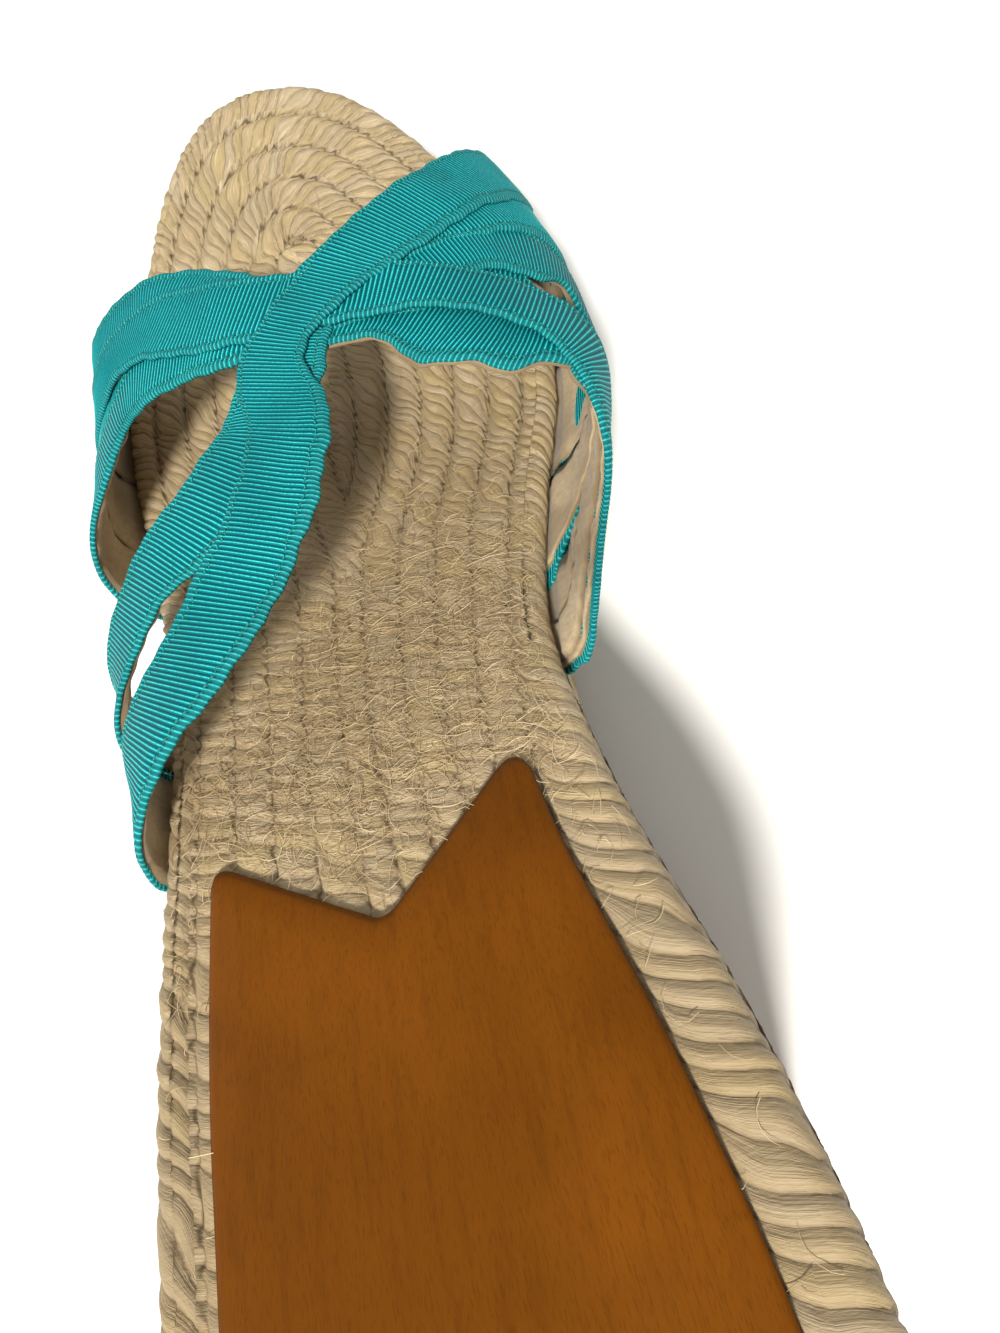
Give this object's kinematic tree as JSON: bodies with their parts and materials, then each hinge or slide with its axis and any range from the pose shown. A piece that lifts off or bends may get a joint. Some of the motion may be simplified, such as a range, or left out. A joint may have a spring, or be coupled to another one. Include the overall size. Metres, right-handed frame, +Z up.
{
  "type": "espadrille wedge sandal",
  "caption": "Open-toed slide sandal with a jute rope wedge, coiled jute footbed, leather heel sock and crossing ribbon straps over the forefoot.",
  "frame": {"origin": "on the floor, under the middle of the shoe's box", "axes": "+Y from heel to toe, +X to the medial (big toe) side, +Z up"},
  "size_m": [0.0928, 0.246, 0.0818],
  "materials": {
    "rubber": "matt natural crepe rubber",
    "jute_wedge": "braided natural jute, hairy",
    "jute": "coiled natural jute rope, hairy and worn at the midfoot",
    "leather": "smooth brown leather, satin",
    "grosgrain": "ribbed ribbon with a soft sheen, on a beige backing"
  },
  "bodies": {
    "root": {"outsole": "rubber", "wedge": "jute_wedge", "footbed": "jute", "heel_sock": "leather", "upper": "grosgrain"}
  },
  "joints": []
}
